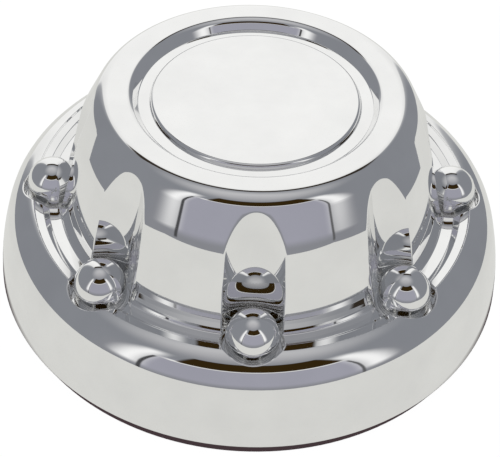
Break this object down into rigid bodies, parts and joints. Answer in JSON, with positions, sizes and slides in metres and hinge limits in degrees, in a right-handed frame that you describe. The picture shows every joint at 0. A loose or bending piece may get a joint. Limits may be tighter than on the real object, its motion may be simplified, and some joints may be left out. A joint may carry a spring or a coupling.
{
  "type": "wheel center cap",
  "caption": "Round pot-shaped wheel center cap: domed middle with a bare recessed disk, scalloped lug pockets holding domed lug covers, stepped channel and tucked-under skirt.",
  "frame": {"origin": "centre of the seating edge on the cap's axis, at the lowest face", "axes": "+Z along the axis out of the wheel, -Y through a lug cover"},
  "size_m": [0.211, 0.211, 0.0939],
  "materials": {
    "chrome_plating": "mirror bright plating on moulded plastic"
  },
  "bodies": {
    "root": {"center_cap": "chrome_plating"}
  },
  "joints": []
}
